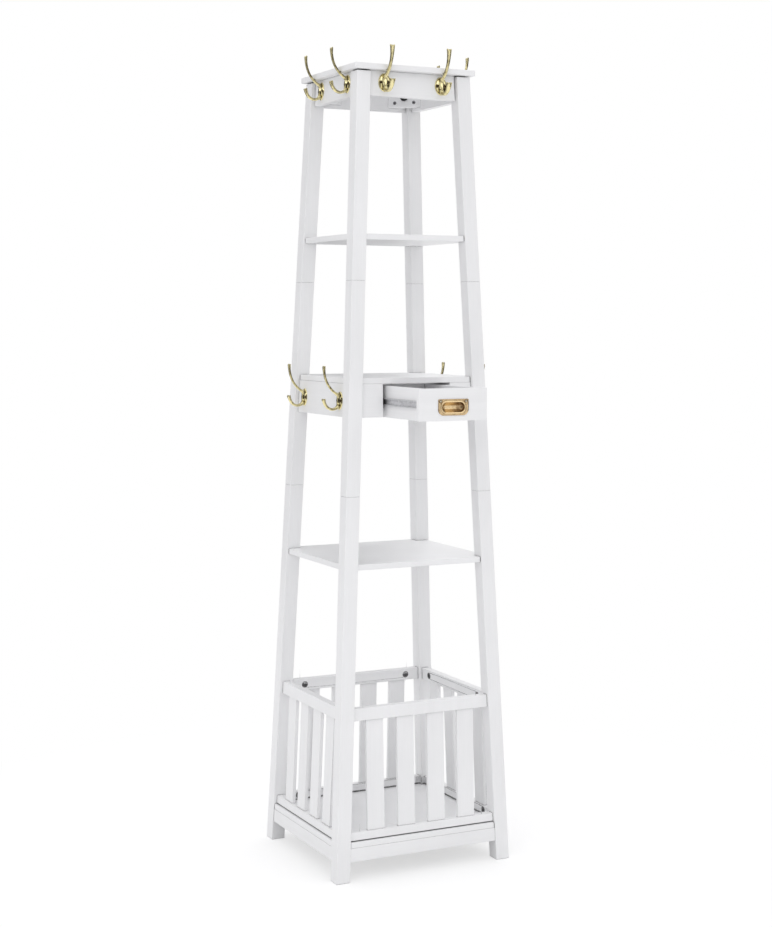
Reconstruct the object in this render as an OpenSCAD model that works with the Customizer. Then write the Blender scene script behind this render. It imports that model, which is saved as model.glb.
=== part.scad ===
// Hall tree: four splayed legs, a slatted basket, two shelves, a box with a drawer, and double coat hooks.
// The origin is on the floor under the middle of the legs, +Z is up and the drawer opens toward -Y.
// Side numbers run round the stand: 0 front, 1 right, 2 back, 3 left.
// Corner numbers follow them: corner c joins side c to side c + 1, so 0 is front right.

/* [Overall] */
// Height to the upper face of the top panel
height = 1800; // [1500:5:2200]
// Width over the legs at the floor
base_w = 440; // [365:1:530]
// Depth over the legs at the floor
base_d = 404; // [335:1:490]
// Width over the legs at full height
top_w = 278; // [230:1:335]
// Depth over the legs at full height
top_d = 275; // [228:1:332]

/* [Legs] */
// Side of the square leg
leg_s = 33; // [27:0.5:40]
// Height of the seam between the lower and middle leg pieces
seam_low = 855; // [750:1:1000]
// Height of the seam between the middle and upper leg pieces
seam_high = 1329; // [1150:1:1400]
// Diameter of the threaded stud in each seam
stud_d = 8; // [6:0.5:10]
// Length of the threaded stud in each seam
stud_len = 60; // [40:1:80]

/* [Shelves] */
// Thickness of the shelves, of the box top and of the bottom board
board_t = 12.7; // [9:0.1:18]
// Height of the lower shelf's upper face
lower_shelf_z = 704.5; // [590:0.5:840]
// Height of the upper shelf's upper face
upper_shelf_z = 1431.5; // [1350:0.5:1560]
// Distance of the two open shelves' edges behind the leg faces
shelf_inset = 4; // [0:0.5:8]
// Clearance between a shelf's notch and the leg
notch_gap = 1; // [0.2:0.1:2]
// Diameter of the pin that holds each shelf corner
pin_d = 6; // [4:0.5:8]
// Length of the pin that holds each shelf corner
pin_len = 34; // [28:1:40]

/* [Top] */
// Thickness of the top panel
panel_t = 12.7; // [9:0.1:18]
// Overhang of the top panel beyond the leg faces
panel_over = 10; // [4:0.5:20]
// Corner radius of the top panel
panel_r = 3; // [1:0.5:10]
// Height of the top aprons
top_apron_h = 55; // [45:1:70]
// Distance of the top aprons behind the leg faces
top_apron_inset = 9; // [4:0.5:12]
// Gap between a top apron's end and the leg
apron_end_gap = 3.5; // [0.5:0.5:5]
// Gap between a leg's upper end and the top panel
leg_top_gap = 2.5; // [0.5:0.5:4]
// Thickness of the wooden corner blocks
block_t = 21; // [14:1:24]
// Height of the wooden corner blocks
block_h = 47; // [38:1:50]
// Gap between a corner block and the leg's inner edge
block_gap = 6; // [2:0.5:8]
// Diameter of the corner bolt's head
bolt_head_d = 18; // [12:1:20]
// Diameter of the corner bolt's shank
bolt_d = 6; // [5:0.5:8]

/* [Drawer box] */
// Height of the upper face of the box
box_top_z = 1115; // [1060:1:1200]
// Height of the box with its top board
box_h = 87; // [78:1:120]
// Distance of the box behind the leg faces
box_inset = 9; // [4:0.5:12]
// Thickness of the box panels, stiles and partitions
box_t = 12; // [9:0.5:15]
// Width of the drawer opening
opening_w = 168.5; // [140:0.5:200]

/* [Drawer] */
// Distance that the drawer stands open
pull_out = 170; // [0:1:190]
// Height of the drawer
drawer_h = 70; // [60:1:72]
// Thickness of the drawer front
front_t = 13; // [11.5:0.5:18]
// Gap between the drawer front and the sides of its opening
front_gap = 1.5; // [1:0.5:3]
// Thickness of the drawer sides and back
side_t = 10; // [9:0.5:15]
// Length of the drawer sides
side_len = 252; // [205:1:260]
// Thickness of the drawer bottom
bottom_t = 3; // [2.5:0.5:6]
// Space that each drawer slide takes beside the drawer
slide_w = 10; // [9.5:0.5:14]
// Height of the slide's fixed channel
channel_h = 27; // [25:0.5:36]
// Height of the slide's moving runner
runner_h = 14.5; // [13:0.5:16]
// Length of the channel and of the runner
slide_len = 250; // [205:1:258]
// Sheet thickness of the channel and of the runner
slide_sheet = 1.2; // [1:0.1:1.4]
// Full travel of the drawer from closed
travel = 190; // [160:1:195]

/* [Flush pull] */
// Width of the pull's plate
pull_w = 74; // [66:1:90]
// Height of the pull's plate
pull_h = 35; // [31:1:40]
// Radius of the plate's two lower corners
pull_r = 13; // [4:0.5:15]
// Width of the dished finger recess
dish_w = 58; // [46:1:64]
// Height of the dished finger recess
dish_h = 25; // [20:0.5:27]
// Depth of the dished finger recess
dish_depth = 9.5; // [6:0.5:10]
// Thickness of the plate
pull_t = 1.5; // [1:0.1:2.5]

/* [Coat hooks] */
// Width of a hook's oval backplate
hook_w = 30; // [28:1:38]
// Height of a hook's oval backplate
hook_h = 40; // [34:1:48]
// Rise of the upper prong above the middle of the backplate
prong_up = 77; // [60:1:100]
// Reach of both prongs in front of the backplate's back
prong_out = 42; // [34:0.5:48]
// Fall of the lower prong below the middle of the backplate
prong_down = 18.5; // [16:0.5:24]
// Width of the upper prong in the middle
prong_w = 7.5; // [6:0.1:9]
// Thickness of the prongs
prong_t = 4.4; // [3.5:0.1:6]
// Width of both prongs at their flared tips
tip_w = 11.5; // [9:0.5:14]
// Distance between the two screws of a hook
hook_screw_gap = 20; // [18:0.5:24]
// Distance of the upper hooks from the middle of their apron
hook_top_u = 70; // [50:1:80]
// Distance of the middle hooks from the middle of their box panel
hook_mid_u = 97.5; // [70:0.5:105]

/* [Basket] */
// Height of the basket's upper edge
basket_z = 385; // [320:1:470]
// Thickness of the basket rails
rail_t = 18; // [15:0.5:22]
// Height of the top rails
top_rail_h = 28; // [22:0.5:36]
// Height of the bottom rails
bottom_rail_h = 18; // [16:0.5:26]
// Gap between the bottom rails and the bottom board
rail_gap = 2.2; // [0.5:0.1:4]
// Width of a slat
slat_w = 42; // [30:0.5:46]
// Thickness of a slat
slat_t = 8; // [6:0.5:10]
// Number of slats on each side
slat_n = 4; // [2:1:4]
// Depth of a slat's end in its rail
tenon = 5; // [3:0.5:8]
// Diameter of a cam lock
cam_d = 15; // [12:0.5:16]
// Depth of a cam lock
cam_depth = 12; // [10:0.5:13]
// Distance of a cam lock from the rail's end
cam_end = 35; // [28:0.5:42]

/* [Base] */
// Height of the bottom board's upper face
base_z = 88; // [75:0.5:110]
// Distance of the bottom board and the base aprons behind the leg faces
base_inset = 2; // [0:0.5:6]
// Height of the base aprons
base_apron_h = 30.5; // [24:0.5:40]
// Thickness of the top and base aprons
apron_t = 15; // [12:0.5:18]
// Diameter of the wooden dowels
dowel_d = 8; // [6:0.5:10]
// Length of the wooden dowels
dowel_len = 40; // [30:1:44]

/* [Hidden] */

paint = "whitesmoke";
brass = "#c9a86a";
steel = "#b9bcc0";
black = "#1c1c1e";
beech = "#d9b98c";

// Clearance round a pin, stud, bolt or screw in its hole
fit = 0.15;
// Clearance round a slat's end in its mortise, and round the drawer's bottom in its groove
slip_fit = 0.15;
// A length that reaches right through any piece
through = 3 * base_w;
// Heights that follow from the driving dimensions
panel_z = height - panel_t;
leg_top = panel_z - leg_top_gap;
block_z = panel_z - block_h;
bolt_z = panel_z - block_h / 2;
box_z = box_top_z - box_h;
box_under = box_top_z - board_t;
drawer_drop = 1;
drawer_z = box_z - drawer_drop;
drawer_mid = drawer_z + drawer_h / 2;
rail_z = base_z + rail_gap;
apron_top = base_z - board_t;
apron_z = apron_top - base_apron_h;
bottom_rail_mid = rail_z + bottom_rail_h / 2;
top_rail_mid = basket_z - top_rail_h / 2;
rail_inset = (leg_s - rail_t) / 2;
hook_top_z = panel_z - 0.46 * top_apron_h;
hook_mid_z = box_z + 0.41 * box_h;

// The sides that have hooks: two on each such apron and box panel
HOOKED_APRONS = [0, 1, 3];
HOOKED_PANELS = [1, 3];

// Half the width and half the depth over the legs at height z
function half_w(z) = (base_w + (top_w - base_w) * z / height) / 2;
function half_d(z) = (base_d + (top_d - base_d) * z / height) / 2;
// Distance of side k's leg faces from the middle, and half of the side's length
function reach(k, z) = k % 2 == 0 ? half_d(z) : half_w(z);
function span(k, z) = k % 2 == 0 ? half_w(z) : half_d(z);
function inner(k, z) = span(k, z) - leg_s;
// Angle at which side k leans in
function lean(k) = atan((reach(k, 0) - reach(k, height)) / height);
// Directions of corner c from the middle
function sx(c) = c < 2 ? 1 : -1;
function sy(c) = c == 0 || c == 3 ? -1 : 1;

// A prism along Y with an outline in X and Z, and one along X with an outline in Y and Z
module along_y(outline) {
    rotate([90, 0, 0]) linear_extrude(through, center = true) polygon(outline);
}

module along_x(outline) {
    rotate([90, 0, 90]) linear_extrude(through, center = true) polygon(outline);
}

// The square column of corner c from z0 to z1, which leans with the stand
module leg_column(c, z0, z1, grow = 0) {
    intersection() {
        along_y([
            [sx(c) * (half_w(z0) + grow), z0], [sx(c) * (half_w(z0) - leg_s - grow), z0],
            [sx(c) * (half_w(z1) - leg_s - grow), z1], [sx(c) * (half_w(z1) + grow), z1],
        ]);
        along_x([
            [sy(c) * (half_d(z0) + grow), z0], [sy(c) * (half_d(z0) - leg_s - grow), z0],
            [sy(c) * (half_d(z1) - leg_s - grow), z1], [sy(c) * (half_d(z1) + grow), z1],
        ]);
    }
}

// A board on side k from z0 to z1, from lateral lo to hi, which are given at z0 and z1
module side_board(k, z0, z1, lo, hi, inset, t) {
    y0 = inset - reach(k, z0);
    y1 = inset - reach(k, z1);
    rotate([0, 0, 90 * k]) intersection() {
        along_y([[lo[0], z0], [hi[0], z0], [hi[1], z1], [lo[1], z1]]);
        along_x([[y0, z0], [y0 + t, z0], [y1 + t, z1], [y1, z1]]);
    }
}

// A board on side k that fills the space between its two legs
module between_legs(k, z0, z1, inset, t, gap = 0) {
    a = inner(k, z0) - gap;
    b = inner(k, z1) - gap;
    side_board(k, z0, z1, [-a, -b], [a, b], inset, t);
}

// Puts its children on side k, with -Y outward and square to the leaning face
module on_face(k, u, z, inset) {
    rotate([0, 0, 90 * k]) translate([u, inset - reach(k, z), z]) rotate([-lean(k), 0, 0]) children();
}

// Puts its children on the middle line of leg c, with +Z along the leg
module on_leg(c, z) {
    a = sx(c) * (half_w(height) - half_w(0)) / height;
    b = sy(c) * (half_d(height) - half_d(0)) / height;
    translate([sx(c) * (half_w(z) - leg_s / 2), sy(c) * (half_d(z) - leg_s / 2), z])
        rotate([-asin(b / norm([a, b, 1])), atan(a), 0]) children();
}

// Puts its children at the inner edge of leg c, with +X pointing to the middle of the stand
module from_edge(c, z) {
    translate([sx(c) * (half_w(z) - leg_s), sy(c) * (half_d(z) - leg_s), z])
        rotate([0, 0, atan2(-sy(c), -sx(c))]) children();
}

// A round bar along X from x0 to x1
module bar_x(x0, x1, d) {
    translate([x0, 0, 0]) rotate([0, 90, 0]) cylinder(h = x1 - x0, d = d, $fn = 32);
}

// Fasteners, each also used with a gap to cut its hole
module stud(c, z, gap = 0) {
    on_leg(c, z) cylinder(h = stud_len + 2 * gap, d = stud_d + 2 * gap, center = true, $fn = 32);
}

module shelf_pin(c, z, gap = 0) {
    in_leg = 0.55 * pin_len;
    from_edge(c, z) bar_x(-in_leg - gap, pin_len - in_leg + gap, pin_d + 2 * gap);
}

module cam_bolt(k, e, z, gap = 0) {
    shank_d = 6;
    in_leg = 11;
    in_rail = cam_end - cam_d / 4;
    on_face(k, e * inner(k, z), z, rail_inset + rail_t / 2)
        rotate([0, 0, e > 0 ? 0 : 180]) bar_x(-in_rail - gap, in_leg + gap, shank_d + 2 * gap);
}

module cam_lock(k, e, z, gap = 0) {
    on_face(k, e * (inner(k, z) - cam_end), z, rail_inset + rail_t)
        rotate([90, 0, 0]) cylinder(h = cam_depth + gap, d = cam_d + 2 * gap, $fn = 32);
}

// A dowel across the joint of a board's end and a leg, inset behind the leg's face
// It stops in the leg just short of the dowel that comes from the other side
module dowel(k, e, z, inset, gap = 0) {
    in_leg = leg_s - inset - 0.75 * dowel_d;
    on_face(k, e * inner(k, z), z, inset)
        rotate([0, 0, e > 0 ? 0 : 180]) bar_x(in_leg - dowel_len - gap, in_leg + gap, dowel_d + 2 * gap);
}

module corner_bolt(c, gap = 0) {
    face = block_gap + block_t;
    in_leg = 18;
    from_edge(c, bolt_z) bar_x(-in_leg - gap, face + gap, bolt_d + 2 * gap);
}

// Screws beside the corner bolt, one for each apron
module block_screw(c, e, gap = 0) {
    face = block_gap + block_t;
    beside = 23.5;
    shank_d = 3.6;
    shank_len = 28;
    head_d = 7.5;
    head_h = 2;
    from_edge(c, block_z + 0.22 * block_h) translate([0, e * beside, 0]) {
        bar_x(face - shank_len - gap, face, shank_d + 2 * gap);
        bar_x(face, face + head_h, head_d);
    }
}

// The two screws of a hook, whose heads lie on seats in the backplate
module hook_screw(gap = 0) {
    shank_d = 3.4;
    depth = 11;
    head_d = 6;
    head_h = 1.4;
    seat = 2.2;
    for (e = [-1, 1]) {
        translate([e * hook_screw_gap / 2, 0, 0]) rotate([90, 0, 0]) {
            translate([0, 0, -depth - gap]) cylinder(h = depth + seat + gap, d = shank_d + 2 * gap, $fn = 20);
            translate([0, 0, seat]) cylinder(h = gap > 0 ? head_d : head_h, d = head_d + 2 * gap, $fn = 20);
        }
    }
}

// Places of the dowels: the boxes' panels and stiles take one at each of two heights, the aprons one
DOWELS_BOX = [
    for (k = [0 : 3]) for (e = [-1, 1]) for (f = [0.25, 0.75]) [k, e, box_z + f * (box_h - board_t)],
];
DOWELS_BASE = [for (k = [0 : 3]) for (e = [-1, 1]) [k, e, apron_z + base_apron_h / 2]];
dowel_in_box = box_inset + box_t / 2;
dowel_in_apron = base_inset + apron_t / 2;
PIN_HEIGHTS = [
    base_z - board_t / 2, lower_shelf_z - board_t / 2, box_top_z - board_t / 2, upper_shelf_z - board_t / 2,
];

module dowels(k, gap = 0) {
    for (p = DOWELS_BOX) if (p[0] == k) dowel(k, p[1], p[2], dowel_in_box, gap);
    for (p = DOWELS_BASE) if (p[0] == k) dowel(k, p[1], p[2], dowel_in_apron, gap);
}

// Leg pieces
LEG_CUTS = [0, seam_low, seam_high, leg_top];

module leg(c, tier) {
    z0 = LEG_CUTS[tier];
    z1 = LEG_CUTS[tier + 1];
    ends = [[c, 1], [(c + 1) % 4, -1]];
    color(paint) difference() {
        leg_column(c, z0, z1);
        for (z = [seam_low, seam_high]) if (z == z0 || z == z1) stud(c, z, fit);
        for (z = PIN_HEIGHTS) if (z > z0 && z < z1) shelf_pin(c, z, fit);
        for (s = ends) for (z = [bottom_rail_mid, top_rail_mid])
            if (z > z0 && z < z1) cam_bolt(s[0], s[1], z, fit);
        for (s = ends) for (p = DOWELS_BOX)
            if (p[0] == s[0] && p[1] == s[1] && p[2] > z0 && p[2] < z1)
                dowel(p[0], p[1], p[2], dowel_in_box, fit);
        for (s = ends) for (p = DOWELS_BASE)
            if (p[0] == s[0] && p[1] == s[1] && p[2] > z0 && p[2] < z1)
                dowel(p[0], p[1], p[2], dowel_in_apron, fit);
        if (tier == 2) corner_bolt(c, fit);
    }
}

module leg_studs() {
    color(steel) for (c = [0 : 3]) for (z = [seam_low, seam_high]) stud(c, z);
}

// A board notched round the four legs, with its upper face at z and its edges behind the leg faces
module shelf(z, inset) {
    w = half_w(z) - inset;
    d = half_d(z) - inset;
    color(paint) difference() {
        translate([-w, -d, z - board_t]) cube([2 * w, 2 * d, board_t]);
        for (c = [0 : 3]) leg_column(c, z - 2 * board_t, z + board_t, notch_gap);
        for (c = [0 : 3]) shelf_pin(c, z - board_t / 2, fit);
    }
}

module shelf_pins() {
    color(steel) for (c = [0 : 3]) for (z = PIN_HEIGHTS) shelf_pin(c, z);
}

// A flat plate with round corners, r = [lower left, lower right, upper right, upper left]
module round_plate(w, h, r, t) {
    linear_extrude(t) difference() {
        square([w, h], center = true);
        for (i = [0 : 3]) {
            ex = i == 1 || i == 2 ? 1 : -1;
            ey = i > 1 ? 1 : -1;
            translate([ex * (w / 2 - r[i]), ey * (h / 2 - r[i])]) difference() {
                translate([ex > 0 ? 0 : -r[i] - 1, ey > 0 ? 0 : -r[i] - 1]) square(r[i] + 1);
                circle(r[i], $fn = 48);
            }
        }
    }
}

// Top
module top_panel() {
    w = 2 * (half_w(height) + panel_over);
    d = 2 * (half_d(height) + panel_over);
    color(paint) translate([0, 0, panel_z]) round_plate(w, d, [panel_r, panel_r, panel_r, panel_r], panel_t);
}

module top_apron(k) {
    z0 = panel_z - top_apron_h;
    color(paint) difference() {
        between_legs(k, z0, panel_z, top_apron_inset, apron_t, apron_end_gap);
        for (h = HOOKED_APRONS) if (h == k) for (e = [-1, 1])
            on_face(k, e * hook_top_u, hook_top_z, top_apron_inset) hook_screw(fit);
        block_screw(k, -1, fit);
        block_screw(k, 1, fit);
        block_screw((k + 3) % 4, -1, fit);
        block_screw((k + 3) % 4, 1, fit);
    }
}

module corner_blocks() {
    inset = top_apron_inset + apron_t;
    color(paint) for (c = [0 : 3]) difference() {
        intersection() {
            from_edge(c, bolt_z) translate([block_gap, -through / 2, -block_h / 2])
                cube([block_t, through, block_h]);
            along_y([
                [half_w(block_z) - inset, block_z], [half_w(panel_z) - inset, panel_z],
                [inset - half_w(panel_z), panel_z], [inset - half_w(block_z), block_z],
            ]);
            along_x([
                [half_d(block_z) - inset, block_z], [half_d(panel_z) - inset, panel_z],
                [inset - half_d(panel_z), panel_z], [inset - half_d(block_z), block_z],
            ]);
        }
        corner_bolt(c, fit);
        for (e = [-1, 1]) block_screw(c, e, fit);
    }
}

module corner_bolts() {
    head_h = 5;
    socket_d = 6.5;
    socket_depth = 3;
    color(black) for (c = [0 : 3]) {
        corner_bolt(c);
        from_edge(c, bolt_z) translate([block_gap + block_t, 0, 0]) difference() {
            bar_x(0, head_h, bolt_head_d);
            translate([head_h - socket_depth, 0, 0]) rotate([0, 90, 0])
                cylinder(h = socket_depth + 1, d = socket_d, $fn = 6);
        }
    }
}

module block_screws() {
    color(steel) for (c = [0 : 3]) for (e = [-1, 1]) block_screw(c, e);
}

// Box
module box_top() {
    shelf(box_top_z, box_inset);
}

module box_panel(k) {
    color(paint) difference() {
        between_legs(k, box_z, box_under, box_inset, box_t);
        dowels(k, fit);
        for (h = HOOKED_PANELS) if (h == k) for (e = [-1, 1])
            on_face(k, e * hook_mid_u, hook_mid_z, box_inset) hook_screw(fit);
    }
}

module box_stile(e) {
    far = [e * inner(0, box_z), e * inner(0, box_under)];
    near = [e * opening_w / 2, e * opening_w / 2];
    color(paint) difference() {
        side_board(0, box_z, box_under, e > 0 ? near : far, e > 0 ? far : near, box_inset, box_t);
        dowels(0, fit);
    }
}

// An upright behind each stile, which carries the drawer slide
module box_partition(e) {
    inset = box_inset + box_t;
    z0 = box_z + 7;
    color(paint) translate([e > 0 ? opening_w / 2 : -opening_w / 2 - box_t, 0, 0]) rotate([90, 0, 90])
        linear_extrude(box_t) polygon([
            [inset - half_d(z0), z0], [half_d(z0) - inset, z0],
            [half_d(box_under) - inset, box_under], [inset - half_d(box_under), box_under],
        ]);
}

module frame_dowels() {
    color(beech) for (k = [0 : 3]) dowels(k);
}

// Drawer: its front face stands at drawer_y, and its box runs back from box_y
closed_y = box_inset - half_d(drawer_mid);
drawer_y = closed_y - pull_out;
box_y = drawer_y + front_t;
box_half = opening_w / 2 - slide_w;
front_half = opening_w / 2 - front_gap;
groove = 5;
bottom_rise = 8;
bottom_z = drawer_z + bottom_rise;
channel_y = closed_y + box_t + 1;
pull_z = drawer_z + 0.42 * drawer_h;
PULL_SCREWS = [[-0.42, 0.38], [0.42, 0.38]];

module drawer_panel_space(gap = 0) {
    y0 = box_y - groove;
    y1 = box_y + side_len - side_t + groove;
    w = box_half - side_t + groove;
    translate([-w - gap, y0 - gap, bottom_z - gap])
        cube([2 * w + 2 * gap, y1 - y0 + 2 * gap, bottom_t + 2 * gap]);
}

module on_pull() {
    translate([0, drawer_y, pull_z]) rotate([90, 0, 0]) children();
}

// The dished recess: a trough with round ends, whose rim is dish_w by dish_h
dish_sheet = 1;
dish_gap = 0.2;

module dish(grow = 0) {
    r = (dish_h * dish_h / 4 + dish_depth * dish_depth) / (2 * dish_depth);
    a = (dish_w - dish_h) / 2;
    translate([0, 0, r - dish_depth]) {
        for (e = [-1, 1]) translate([e * a, 0, 0]) sphere(r + grow, $fn = 64);
        translate([-a, 0, 0]) rotate([0, 90, 0]) cylinder(h = 2 * a, r = r + grow, $fn = 64);
    }
}

module pull_screw(p, gap = 0) {
    shank_d = 2.4;
    depth = 8;
    head_d = 4;
    head_h = 0.8;
    translate([p[0] * pull_w, p[1] * pull_h, 0]) {
        translate([0, 0, -depth - gap]) cylinder(h = depth + pull_t + gap, d = shank_d + 2 * gap, $fn = 20);
        translate([0, 0, pull_t]) cylinder(h = head_h, d = head_d, $fn = 20);
    }
}

module drawer_front() {
    color(paint) difference() {
        translate([-front_half, drawer_y, drawer_z]) cube([2 * front_half, front_t, drawer_h]);
        drawer_panel_space(slip_fit);
        on_pull() intersection() {
            dish(dish_sheet + dish_gap);
            translate([0, 0, -front_t]) linear_extrude(2 * front_t) square([pull_w, pull_h], center = true);
        }
        on_pull() for (p = PULL_SCREWS) pull_screw(p, fit);
    }
}

module drawer_side(e) {
    x0 = e > 0 ? box_half - side_t : -box_half;
    color(paint) difference() {
        translate([x0, box_y, drawer_z]) cube([side_t, side_len, drawer_h]);
        drawer_panel_space(slip_fit);
    }
}

module drawer_back() {
    w = box_half - side_t;
    color(paint) difference() {
        translate([-w, box_y + side_len - side_t, drawer_z]) cube([2 * w, side_t, drawer_h]);
        drawer_panel_space(slip_fit);
    }
}

module drawer_bottom() {
    color("gainsboro") drawer_panel_space();
}

module drawer_pull() {
    color(brass) on_pull() {
        difference() {
            round_plate(pull_w, pull_h, [pull_r, pull_r, 1.5, 1.5], pull_t);
            dish();
            for (p = PULL_SCREWS) pull_screw(p, fit);
        }
        difference() {
            dish(dish_sheet);
            dish();
            translate([-pull_w, -pull_w, 0]) cube(2 * pull_w);
        }
    }
}

module pull_screws() {
    color(brass) on_pull() for (p = PULL_SCREWS) pull_screw(p);
}

// A C section along Y, with its web on x = 0 and its flanges toward +X
module channel(h, w, len) {
    t = slide_sheet;
    translate([0, len, 0]) rotate([90, 0, 0]) linear_extrude(len) difference() {
        translate([0, -h / 2]) square([w, h]);
        translate([t, t - h / 2]) square([w, h - 2 * t]);
    }
}

// The channel stops short of the drawer's side, and the runner short of the channel's web
channel_w = slide_w - 2;
runner_w = slide_w - 3;

module slide_channels() {
    for (e = [0, 1]) mirror([e, 0, 0]) color(steel)
        translate([opening_w / 2, channel_y, drawer_mid]) mirror([1, 0, 0])
            channel(channel_h, channel_w, slide_len);
}

module slide_runners() {
    for (e = [0, 1]) mirror([e, 0, 0]) color(steel)
        translate([box_half, box_y, drawer_mid]) channel(runner_h, runner_w, slide_len);
}

// Steel balls in a thin cage, which runs at half the drawer's speed between channel and runner
ball_gap = 0.32;
ball_z = (channel_h / 2 - slide_sheet + runner_h / 2) / 2;
ball_d = channel_h / 2 - slide_sheet - runner_h / 2 - 2 * ball_gap;
ball_n = 5;
cage_stop = 1;
cage_len = slide_len - travel - 4 * cage_stop;
cage_y = channel_y + cage_stop + (travel - pull_out) / 2;

module ball_cages() {
    sheet = 0.8;
    arm_x = 2.6;
    web_x = slide_w - slide_sheet - 1.3;
    ball_x = slide_w / 2 - 0.4;
    pitch = cage_len / ball_n;
    for (e = [0, 1]) mirror([e, 0, 0]) color(steel) translate([box_half, cage_y, drawer_mid]) {
        difference() {
            union() {
                translate([web_x, 0, -ball_z - sheet / 2]) cube([sheet, cage_len, 2 * ball_z + sheet]);
                for (s = [-1, 1]) translate([arm_x, 0, s * ball_z - sheet / 2])
                    cube([web_x - arm_x + sheet / 2, cage_len, sheet]);
            }
            for (s = [-1, 1]) for (i = [0 : ball_n - 1]) translate([ball_x, (i + 0.5) * pitch, s * ball_z])
                cylinder(h = 2 * sheet, d = ball_d + 2 * fit, center = true, $fn = 24);
        }
        for (s = [-1, 1]) for (i = [0 : ball_n - 1]) translate([ball_x, (i + 0.5) * pitch, s * ball_z])
            sphere(d = ball_d, $fn = 24);
    }
}

// Basket
module slat(k, i, gap = 0) {
    pitch = slat_w + (2 * inner(k, top_rail_mid) - slat_n * slat_w) / (slat_n + 1);
    u = (i - (slat_n - 1) / 2) * pitch;
    w = slat_w / 2 + gap;
    z0 = rail_z + bottom_rail_h - tenon - 2 * gap;
    z1 = basket_z - top_rail_h + tenon + 2 * gap;
    side_board(k, z0, z1, [u - w, u - w], [u + w, u + w], (leg_s - slat_t) / 2 - gap, slat_t + 2 * gap);
}

// The holes are drilled after the slats are in, so they also cut a slat's end where they meet it
module cam_holes(k) {
    for (e = [-1, 1]) for (z = [bottom_rail_mid, top_rail_mid]) {
        cam_bolt(k, e, z, fit);
        cam_lock(k, e, z, fit);
    }
}

module basket_side(k) {
    color(paint) {
        difference() {
            union() {
                between_legs(k, rail_z, rail_z + bottom_rail_h, rail_inset, rail_t);
                between_legs(k, basket_z - top_rail_h, basket_z, rail_inset, rail_t);
            }
            for (i = [0 : slat_n - 1]) slat(k, i, slip_fit);
            cam_holes(k);
        }
        for (i = [0 : slat_n - 1]) difference() {
            slat(k, i);
            cam_holes(k);
        }
    }
}

module cam_locks() {
    color(black) for (k = [0 : 3]) for (e = [-1, 1]) for (z = [bottom_rail_mid, top_rail_mid]) difference() {
        cam_lock(k, e, z);
        cam_bolt(k, e, z, fit);
        on_face(k, e * (inner(k, z) - cam_end), z, rail_inset + rail_t) for (a = [45, 135])
            rotate([0, a, 0]) cube([0.6 * cam_d, 0.2 * cam_d, 0.1 * cam_d], center = true);
    }
}

module cam_bolts() {
    color(steel) for (k = [0 : 3]) for (e = [-1, 1]) for (z = [bottom_rail_mid, top_rail_mid])
        cam_bolt(k, e, z);
}

// Small angle plates that tie the bottom rails to the legs
module corner_plates() {
    t = 1.2;
    arm = 11;
    h = bottom_rail_h - 3;
    from_leg = 0.6;
    color(steel) for (k = [0 : 3]) for (e = [0, 1]) {
        on_face(k, 0, bottom_rail_mid, rail_inset + rail_t) mirror([e, 0, 0])
            translate([inner(k, bottom_rail_mid) - from_leg, 0, -h / 2]) {
                translate([-arm, 0, 0]) cube([arm, t, h]);
                translate([-t, 0, 0]) cube([t, rail_inset, h]);
            }
    }
}

// Base
module bottom_board() {
    shelf(base_z, base_inset);
}

module base_aprons() {
    color(paint) for (k = [0 : 3]) difference() {
        between_legs(k, apron_z, apron_top, base_inset, apron_t);
        for (p = DOWELS_BASE) if (p[0] == k) dowel(k, p[1], p[2], dowel_in_apron, fit);
    }
}

// Skin over a row of rings, each a list of as many points
module loft(rings) {
    n = len(rings[0]);
    m = len(rings);
    polyhedron(
        points = [for (r = rings) for (p = r) p],
        faces = concat(
            [[for (i = [0 : n - 1]) i]],
            [for (j = [0 : m - 2]) for (i = [0 : n - 1]) [j * n + i, (j + 1) * n + i, j * n + (i + 1) % n]],
            [for (j = [0 : m - 2]) for (i = [0 : n - 1])
                [(j + 1) * n + i, (j + 1) * n + (i + 1) % n, j * n + (i + 1) % n]],
            [[for (i = [n - 1 : -1 : 0]) (m - 1) * n + i]]
        )
    );
}

// Coat hook, with its back on y = 0, outward toward -Y and up along +Z
function bezier(p, t) =
    pow(1 - t, 3) * p[0] + 3 * pow(1 - t, 2) * t * p[1] + 3 * (1 - t) * t * t * p[2] + pow(t, 3) * p[3];
function heading(p, t) =
    let (v = pow(1 - t, 2) * (p[1] - p[0]) + 2 * (1 - t) * t * (p[2] - p[1]) + t * t * (p[3] - p[2]))
    v / norm(v);
// Half width and half thickness of a prong along its length: stout at the root, flared at the tip
function prong_half_w(w, t) =
    w / 2 + 1.2 * pow(1 - t, 3) + (tip_w - w) / 2 * pow(max(0, (t - 0.55) / 0.45), 2);
function prong_half_t(t) = prong_t / 2 + 0.4 * pow(1 - t, 2);
PRONG_SIDES = 8;

module prong(path, w, steps) {
    loft([
        for (s = steps)
            let (q = bezier(path, s), h = heading(path, s), n = [-h[1], h[0]])
            [for (i = [0 : PRONG_SIDES - 1])
                let (
                    a = -(i + 0.5) * 360 / PRONG_SIDES,
                    r = prong_half_t(s) * cos(a),
                    x = prong_half_w(w, s) * sin(a)
                )
                [x, -q[0] - n[0] * r, q[1] + n[1] * r]]
    ]);
}

// A dome of oval rings, each [height, half width, half length]
module oval_dome(rings) {
    loft([
        for (r = rings)
            [for (i = [0 : 23]) [r[1] * hook_w / 2 * cos(15 * i), -r[0], r[2] * hook_h / 2 * sin(15 * i)]]
    ]);
}

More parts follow.
